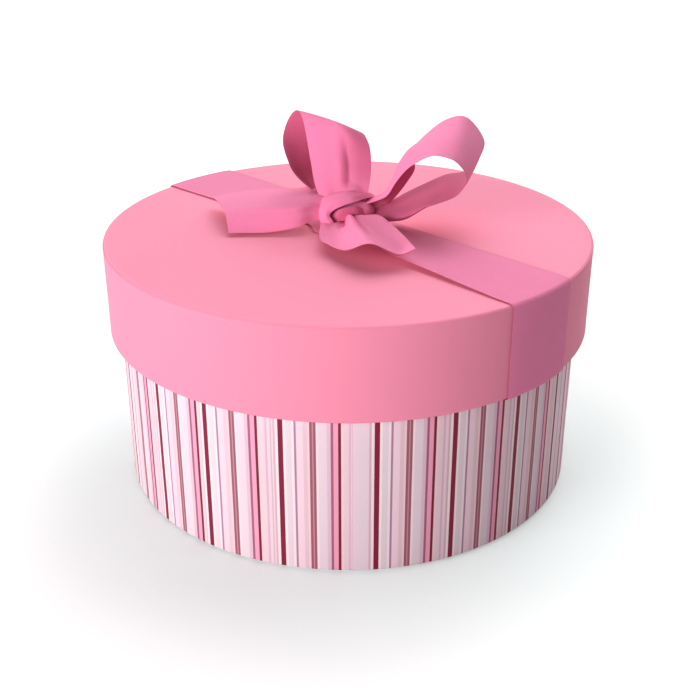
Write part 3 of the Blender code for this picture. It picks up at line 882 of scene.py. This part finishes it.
# the table's surface with its gathers, and its valleys pressed in by
# depth exp(-((across - place) / width)^2)
def bowStretch(style):
    surface = bowSurface(style["rows"], bow["along"], bow["across"])
    along = np.linspace(0.0, 1.0, bow["along"])[:, None]
    across = np.linspace(0.0, 1.0, bow["across"])[None, :]
    amount = gathers(surface, style["folds"], style["depth"], style["reach"], style["phase"])
    for place, widths, depth, window in style["valleys"]:
        width = np.where(across < place, widths[0], widths[1])
        amount = amount + depth * np.exp(-(((across - place) / width) ** 2)) * fullBetween(along, *window)
    return pushed(surface, amount)


# a loop or a tail as a ribbon of the bow's thickness
def addBowPiece(name, style, node):
    return addRibbon(name, bowStretch(style), bow["thickness"], [node], style["shadedReverse"])


leftLoopPiece = addBowPiece("bowLoopLeft", leftLoop, "bow_loop_left")
rightLoopPiece = addBowPiece("bowLoopRight", rightLoop, "bow_loop_right")
leftTailPiece = addBowPiece("bowTailLeft", leftTail, "bow_tail_left")
frontTailPiece = addBowPiece("bowTailFront", frontTail, "bow_tail_front")
print("loops and tails made")


# Knot: a gathered core, a short turn of ribbon in its front, and the last turn wrapped over both

core = {
    "size": (0.315, 0.180, 0.180), "centre": (0.01, 0.01, 0.170), "along": 42, "around": 72,
    "foot": 0.004,      # it is cut flat at this height
    "pleats": 7.0, "pleatDrift": 1.4, "pleatDepth": 0.035,
    "weaveLength": 0.004, "weaveEnd": 0.0126,       # the weave's length to a radian, and in all, in metres
}
wrap = {
    "along": 90, "across": 45, "thickness": 0.0007, "window": (0.0, 0.12, 0.86, 1.0),
    "pleats": 2.6, "pleatDrift": 0.25, "pleatDrifts": 3.0, "pleatDepth": 0.00022, "bulge": 0.0009,
    "rows": [
        [(-28, -8, 2), (-24, -18, 2), (-14, -22, 3)],
        [(-33, -6, 9), (-27, -20, 10), (-18, -25, 14)],
        [(-35, -1, 17), (-30, -18, 19), (-22, -23, 20.5)],
        [(-33, -1, 31), (-26, -13, 30.5), (-17.5, -22.5, 26.5)],
        [(-24, -1, 37.5), (-15, -10, 37.5), (-5, -21, 32.5)],
        [(-10, 0, 41), (0, -7, 40.5), (8, -16.5, 35)],
        [(3, 6, 40), (12, 2, 39), (22, -3, 35.5)],
        [(12, 18, 33), (22, 14, 34), (33, 8, 33)],
        [(14, 27, 15), (24, 22, 17), (34, 17, 20)],
        [(14, 24, 2), (22, 20, 2), (31, 16, 2)],
    ],
}
innerTurn = {
    "along": 50, "across": 25, "thickness": 0.0005,
    "rows": [
        [(-19, -15, 20), (-19, -17, 15), (-18, -16, 10)],
        [(-10, -20, 27), (-10, -21, 20), (-10, -20, 12)],
        [(2, -20, 30), (2, -20, 22), (2, -19, 13)],
        [(10, -18, 30), (12, -18, 22), (14, -17, 13)],
        [(16, -13, 26), (19, -13, 20), (20, -13, 11)],
    ],
}

# an ellipsoid with pleats that run from its left to its right: the radius is multiplied by
# 1 + pleatDepth sin(pleats turn + a drift) sin(latitude)
latitude = np.linspace(0.0, math.pi, core["along"])[:, None]
turn = np.linspace(0.0, math.tau, core["around"] + 1)[None, :-1]
pleatTurn = core["pleats"] * turn + core["pleatDrift"] * np.cos(latitude)
pleat = 1.0 + core["pleatDepth"] * np.sin(pleatTurn) * np.sin(latitude)
size = core["size"]
places = np.stack([
    size[0] * np.cos(latitude) + 0.0 * turn,
    size[1] * np.sin(latitude) * np.cos(turn) * pleat,
    size[2] * np.sin(latitude) * np.sin(turn) * pleat,
], axis=-1) + np.array(core["centre"])
places[..., 2] = np.maximum(places[..., 2], core["foot"])
points = bowPoints(places)
weaveAcross = np.linspace(0.0, ribbonWidth, core["around"] + 1)
uv = np.stack(np.meshgrid(weaveAcross, latitude.ravel() * core["weaveLength"]), axis=-1)
tips = [points[0, 0].tolist(), points[-1, 0].tolist()]
mesh = gridMesh("bowKnot", points[1:-1], uv[1:-1], wrapColumns=True, poles=(tips, (0.0, core["weaveEnd"])))
knotPiece = addPiece(mesh, ribbonCloth, "lid", ["bow_knot"])

surface = bowSurface(wrap["rows"], wrap["along"], wrap["across"])
alongShare = np.linspace(0.0, 1.0, wrap["along"])[:, None]
acrossShare = np.linspace(0.0, 1.0, wrap["across"])[None, :]
drift = wrap["pleatDrift"] * np.sin(wrap["pleatDrifts"] * alongShare)
pleats = wrap["pleatDepth"] * np.sin(math.tau * (wrap["pleats"] * acrossShare + drift))
bulge = wrap["bulge"] * np.sin(math.pi * acrossShare)
surface = pushed(surface, -(pleats + bulge) * fullBetween(alongShare, *wrap["window"]))
wrapPiece = addRibbon("bowKnotWrap", surface, wrap["thickness"], [], "upper")
surface = bowSurface(innerTurn["rows"], innerTurn["along"], innerTurn["across"])
turnPiece = addRibbon("bowKnotTurn", surface, innerTurn["thickness"], [])

# the knot's stretches are folded lengthways; they ride the lid and hide no node of their own
print("knot tied")


# Floor, light and camera

floor = {
    "size": 6.0, "points": 9, "drop": 0.0003, "pale": 0.60, "cameraGlow": 0.32, "cameraPale": 0.95,
    "closeShadow": {"colour": (0.80, 0.90, 0.885), "fade": (0.115, 0.20)},    # painted shadow: greyer close to the box, a little blue-green against the pink light it throws
    "sideShadow": {"shadowDim": 0.26, "fade": (0.112, 0.22)},                     # and more painted shadow, dimmer at its two sides
    "sideways": (0.707, 0.707, 0.0),                                        # the photo's right
}
lights = {
    "leftLight": {"towards": (-0.136, -0.982, 0.132), "strength": 3.65, "angle": 40.0},
    "frontLight": {"towards": (0.418, -0.897, 0.145), "strength": 0.98, "angle": 60.0},
    "backLight": {"towards": (-0.542, 0.542, 0.643), "strength": 0.90, "angle": 60.0},
    "backRightLight": {"towards": (0.0, 0.766, 0.643), "strength": 1.20, "angle": 60.0},
    "topLight": {"towards": (-0.299, 0.299, 0.906), "strength": 1.12, "angle": 60.0},
}
white = (1.0, 1.0, 1.0, 1.0)


# 1 for what the camera sees straight, in a mirror or through glass, and 0 for all other light
def seenByCamera(tree):
    rays = addNode(tree, "LightPath").outputs
    mirrored = doMath(tree, "MAXIMUM", rays["Is Glossy Ray"], rays["Is Transmission Ray"])
    return doMath(tree, "MAXIMUM", rays["Is Camera Ray"], mirrored)


# a lamp or the camera in its place, with one of its axes turned the way it faces
def addToScene(name, data, location, facing, axis):
    placed = bpy.data.objects.new(name, data)
    placed.rotation_euler = Vector(facing).to_track_quat(axis, "Y").to_euler()
    placed.location = location
    bpy.context.scene.collection.objects.link(placed)
    return placed


grid = np.linspace(-floor["size"] / 2, floor["size"] / 2, floor["points"])
floorX, floorY = np.meshgrid(grid, grid)
floorPoints = np.stack([floorX, floorY, 0.0 * floorX - floor["drop"]], axis=-1)
floorMesh = gridMesh("floor", floorPoints, np.stack([floorX, floorY], axis=-1))
floorPiece = bpy.data.objects.new("floor", floorMesh)
bpy.context.scene.collection.objects.link(floorPiece)
if floorMesh.polygons[0].normal.z < 0:
    floorMesh.flip_normals()
floorMaterial = bpy.data.materials.new("paleFloor")
floorMaterial.use_nodes = True
tree = floorMaterial.node_tree
tree.nodes.clear()
plain = addNode(tree, "BsdfDiffuse", {"Color": (floor["pale"],) * 3 + (1.0,)})
floorPlace = addNode(tree, "TexCoord").outputs["Object"]
away = addNode(tree, "VectorMath", {0: floorPlace}, operation="LENGTH").outputs["Value"]
sideways = {0: floorPlace, 1: floor["sideways"]}
sideways = addNode(tree, "VectorMath", sideways, operation="DOT_PRODUCT").outputs["Value"]
sideShare = doMath(tree, "POWER", doMath(tree, "DIVIDE", sideways, away), 2.0)
# painted shadow on the floor the camera sees: greyer near the box and dimmer at its sides
closeShadow, sideShadow = (fadeBetween(tree, away, *floor[label]["fade"]) for label in ("closeShadow", "sideShadow"))
shadowDim = doMath(tree, "MULTIPLY", doMath(tree, "MULTIPLY", sideShare, sideShadow), floor["sideShadow"]["shadowDim"])
shadowedTone = mixedColour(tree, closeShadow, (floor["cameraPale"],) * 3 + (1.0,), (*floor["closeShadow"]["colour"], 1.0))
shadowedTone = scaledColour(tree, shadowedTone, doMath(tree, "SUBTRACT", 1.0, shadowDim))
lit = addNode(tree, "BsdfDiffuse", {"Color": shadowedTone})
glow = addNode(tree, "Emission", {"Color": white, "Strength": floor["cameraGlow"]})
shown = addNode(tree, "AddShader", {0: lit.outputs[0], 1: glow.outputs[0]})
choice = addNode(tree, "MixShader", {
    0: seenByCamera(tree), 1: plain.outputs[0], 2: shown.outputs[0]})
addNode(tree, "OutputMaterial", {0: choice.outputs[0]})
floorMesh.materials.append(floorMaterial)

# the world is white to the camera, also in a mirror, and lights nothing
world = bpy.data.worlds.new("softStudio")
bpy.context.scene.world = world
world.use_nodes = True
background = world.node_tree.nodes["Background"]
setInputs(world.node_tree, background, {"Color": white, "Strength": seenByCamera(world.node_tree)})

for name, style in lights.items():
    lamp = bpy.data.lights.new(name, "SUN")
    lamp.energy = style["strength"]
    lamp.angle = math.radians(style["angle"])
    addToScene(name, lamp, style["towards"], style["towards"], "Z")

photoView = {
    "place": (0.34526, -0.34403, 0.28627), "direction": (-0.6376, 0.6376, -0.4324),
    "lens": 57.38, "sensor": 36.0,
}
cameraData = bpy.data.cameras.new("photoView")
cameraData.sensor_width = photoView["sensor"]
cameraData.lens = photoView["lens"]
camera = addToScene("photoView", cameraData, photoView["place"], photoView["direction"], "-Z")
bpy.context.scene.camera = camera
bpy.context.scene.view_settings.view_transform = "Standard"
print("floor, light and camera set")
